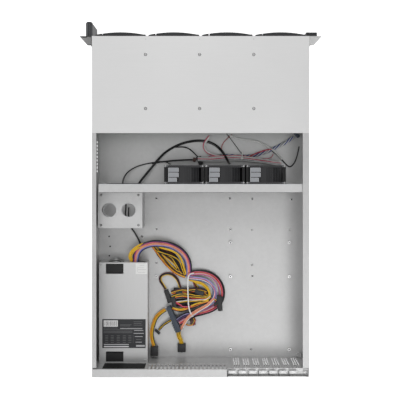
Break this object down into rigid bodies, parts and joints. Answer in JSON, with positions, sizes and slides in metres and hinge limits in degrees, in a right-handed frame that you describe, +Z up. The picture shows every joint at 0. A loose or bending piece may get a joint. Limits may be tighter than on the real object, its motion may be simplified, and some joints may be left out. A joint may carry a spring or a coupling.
{
  "type": "empty rackmount server case",
  "caption": "Low rackmount server case without its rear lid: drive carriers in front, a wall of fans, a power supply with loose leads, and a bare mainboard bay",
  "frame": {"origin": "middle of the case floor's underside", "axes": "+Z up, front with the drive carriers towards -Y, +X to the right seen from the rear"},
  "size_m": [0.4826, 0.7157, 0.088],
  "materials": {
    "galvanised_sheet": "plain galvanised sheet, faint roll grain",
    "carrier_steel": "folded sheet with a black front",
    "dark_bezel": "fine matt grain",
    "light_ear": "satin paint",
    "dark_ear": "satin paint",
    "fan_plastic": "moulded, matt",
    "power_cover": "brushed lid",
    "circuit_board": "solder mask",
    "post_steel": "turned and plated",
    "wire_dark": "wire insulation",
    "wire_yellow": "wire insulation",
    "wire_grey": "ribbon insulation",
    "plug_plastic": "moulded nylon"
  },
  "bodies": {
    "case": {"chassis_base": "galvanised_sheet", "front_cover": "galvanised_sheet", "rear_panel": "galvanised_sheet", "io_plate": "galvanised_sheet", "slot_covers": "galvanised_sheet", "slot_retainer": "galvanised_sheet", "drive_cage": "galvanised_sheet", "fan_wall": "galvanised_sheet", "drive_bridge": "galvanised_sheet", "standoffs": "post_steel", "backplane": "circuit_board", "left_ear": "dark_ear", "right_ear": "light_ear", "control_pod": "dark_bezel", "port_block": "dark_bezel", "psu_housing": "galvanised_sheet", "psu_cover": "power_cover", "psu_fan_frames": "fan_plastic", "lead_plugs": "plug_plastic", "psu_harness": "wire_yellow", "board_lead": "wire_yellow", "cpu_lead": "wire_dark", "aux_lead": "wire_yellow", "drive_lead": "wire_yellow", "fan_lead_left": "wire_dark", "fan_lead_right": "wire_dark", "ribbon_lead": "wire_grey", "inner_harness": "wire_yellow", "spare_lead": "wire_dark", "fan_frames": "fan_plastic"},
    "rotor_1": {"fan_rotor_1": "fan_plastic"},
    "rotor_2": {"fan_rotor_2": "fan_plastic"},
    "rotor_3": {"fan_rotor_3": "fan_plastic"},
    "supply_rotor_front": {"psu_rotor_front": "fan_plastic"},
    "supply_rotor_rear": {"psu_rotor_rear": "fan_plastic"},
    "power_key": {"power_button": "dark_bezel"},
    "carrier_1_1": {"tray_1_1": "carrier_steel"},
    "handle_1_1": {"lever_1_1": "dark_bezel"},
    "carrier_1_2": {"tray_1_2": "carrier_steel"},
    "handle_1_2": {"lever_1_2": "dark_bezel"},
    "carrier_1_3": {"tray_1_3": "carrier_steel"},
    "handle_1_3": {"lever_1_3": "dark_bezel"},
    "carrier_1_4": {"tray_1_4": "carrier_steel"},
    "handle_1_4": {"lever_1_4": "dark_bezel"},
    "carrier_2_1": {"tray_2_1": "carrier_steel"},
    "handle_2_1": {"lever_2_1": "dark_bezel"},
    "carrier_2_2": {"tray_2_2": "carrier_steel"},
    "handle_2_2": {"lever_2_2": "dark_bezel"},
    "carrier_2_3": {"tray_2_3": "carrier_steel"},
    "handle_2_3": {"lever_2_3": "dark_bezel"},
    "carrier_2_4": {"tray_2_4": "carrier_steel"},
    "handle_2_4": {"lever_2_4": "dark_bezel"},
    "carrier_3_1": {"tray_3_1": "carrier_steel"},
    "handle_3_1": {"lever_3_1": "dark_bezel"},
    "carrier_3_2": {"tray_3_2": "carrier_steel"},
    "handle_3_2": {"lever_3_2": "dark_bezel"},
    "carrier_3_3": {"tray_3_3": "carrier_steel"},
    "handle_3_3": {"lever_3_3": "dark_bezel"},
    "carrier_3_4": {"tray_3_4": "carrier_steel"},
    "handle_3_4": {"lever_3_4": "dark_bezel"}
  },
  "joints": [
    {"name": "fan_spin_1", "type": "hinge", "parent": "case", "child": "rotor_1", "pos_m": [0.0334, -0.0642, 0.042], "axis": [0, 1, 0], "continuous": true},
    {"name": "fan_spin_2", "type": "hinge", "parent": "case", "child": "rotor_2", "pos_m": [-0.049, -0.0642, 0.042], "axis": [0, 1, 0], "continuous": true},
    {"name": "fan_spin_3", "type": "hinge", "parent": "case", "child": "rotor_3", "pos_m": [-0.1314, -0.0642, 0.042], "axis": [0, 1, 0], "continuous": true},
    {"name": "supply_fan_spin_front", "type": "hinge", "parent": "case", "child": "supply_rotor_front", "pos_m": [0.178, 0.1288, 0.0216], "axis": [0, 1, 0], "continuous": true},
    {"name": "supply_fan_spin_rear", "type": "hinge", "parent": "case", "child": "supply_rotor_rear", "pos_m": [0.178, 0.3143, 0.0216], "axis": [0, 1, 0], "continuous": true},
    {"name": "power_press", "type": "slide", "parent": "case", "child": "power_key", "axis": [0, 1, 0], "range_m": [0, 0.0015], "stiffness_N_per_m": 800},
    {"name": "carrier_slide_1_1", "type": "slide", "parent": "case", "child": "carrier_1_1", "axis": [0, -1, 0], "range_m": [0, 0.15]},
    {"name": "handle_hinge_1_1", "type": "hinge", "parent": "carrier_1_1", "child": "handle_1_1", "pos_m": [0.1116, -0.344, 0.01605], "axis": [0, 0, -1], "range_deg": [0, 50]},
    {"name": "carrier_slide_1_2", "type": "slide", "parent": "case", "child": "carrier_1_2", "axis": [0, -1, 0], "range_m": [0, 0.15]},
    {"name": "handle_hinge_1_2", "type": "hinge", "parent": "carrier_1_2", "child": "handle_1_2", "pos_m": [0.0046, -0.344, 0.01605], "axis": [0, 0, -1], "range_deg": [0, 50]},
    {"name": "carrier_slide_1_3", "type": "slide", "parent": "case", "child": "carrier_1_3", "axis": [0, -1, 0], "range_m": [0, 0.15]},
    {"name": "handle_hinge_1_3", "type": "hinge", "parent": "carrier_1_3", "child": "handle_1_3", "pos_m": [-0.1024, -0.344, 0.01605], "axis": [0, 0, -1], "range_deg": [0, 50]},
    {"name": "carrier_slide_1_4", "type": "slide", "parent": "case", "child": "carrier_1_4", "axis": [0, -1, 0], "range_m": [0, 0.15]},
    {"name": "handle_hinge_1_4", "type": "hinge", "parent": "carrier_1_4", "child": "handle_1_4", "pos_m": [-0.2094, -0.344, 0.01605], "axis": [0, 0, -1], "range_deg": [0, 50]},
    {"name": "carrier_slide_2_1", "type": "slide", "parent": "case", "child": "carrier_2_1", "axis": [0, -1, 0], "range_m": [0, 0.15]},
    {"name": "handle_hinge_2_1", "type": "hinge", "parent": "carrier_2_1", "child": "handle_2_1", "pos_m": [0.1116, -0.344, 0.04445], "axis": [0, 0, -1], "range_deg": [0, 50]},
    {"name": "carrier_slide_2_2", "type": "slide", "parent": "case", "child": "carrier_2_2", "axis": [0, -1, 0], "range_m": [0, 0.15]},
    {"name": "handle_hinge_2_2", "type": "hinge", "parent": "carrier_2_2", "child": "handle_2_2", "pos_m": [0.0046, -0.344, 0.04445], "axis": [0, 0, -1], "range_deg": [0, 50]},
    {"name": "carrier_slide_2_3", "type": "slide", "parent": "case", "child": "carrier_2_3", "axis": [0, -1, 0], "range_m": [0, 0.15]},
    {"name": "handle_hinge_2_3", "type": "hinge", "parent": "carrier_2_3", "child": "handle_2_3", "pos_m": [-0.1024, -0.344, 0.04445], "axis": [0, 0, -1], "range_deg": [0, 50]},
    {"name": "carrier_slide_2_4", "type": "slide", "parent": "case", "child": "carrier_2_4", "axis": [0, -1, 0], "range_m": [0, 0.15]},
    {"name": "handle_hinge_2_4", "type": "hinge", "parent": "carrier_2_4", "child": "handle_2_4", "pos_m": [-0.2094, -0.344, 0.04445], "axis": [0, 0, -1], "range_deg": [0, 50]},
    {"name": "carrier_slide_3_1", "type": "slide", "parent": "case", "child": "carrier_3_1", "axis": [0, -1, 0], "range_m": [0, 0.15]},
    {"name": "handle_hinge_3_1", "type": "hinge", "parent": "carrier_3_1", "child": "handle_3_1", "pos_m": [0.1116, -0.344, 0.07285], "axis": [0, 0, -1], "range_deg": [0, 50]},
    {"name": "carrier_slide_3_2", "type": "slide", "parent": "case", "child": "carrier_3_2", "axis": [0, -1, 0], "range_m": [0, 0.15]},
    {"name": "handle_hinge_3_2", "type": "hinge", "parent": "carrier_3_2", "child": "handle_3_2", "pos_m": [0.0046, -0.344, 0.07285], "axis": [0, 0, -1], "range_deg": [0, 50]},
    {"name": "carrier_slide_3_3", "type": "slide", "parent": "case", "child": "carrier_3_3", "axis": [0, -1, 0], "range_m": [0, 0.15]},
    {"name": "handle_hinge_3_3", "type": "hinge", "parent": "carrier_3_3", "child": "handle_3_3", "pos_m": [-0.1024, -0.344, 0.07285], "axis": [0, 0, -1], "range_deg": [0, 50]},
    {"name": "carrier_slide_3_4", "type": "slide", "parent": "case", "child": "carrier_3_4", "axis": [0, -1, 0], "range_m": [0, 0.15]},
    {"name": "handle_hinge_3_4", "type": "hinge", "parent": "carrier_3_4", "child": "handle_3_4", "pos_m": [-0.2094, -0.344, 0.07285], "axis": [0, 0, -1], "range_deg": [0, 50]}
  ]
}
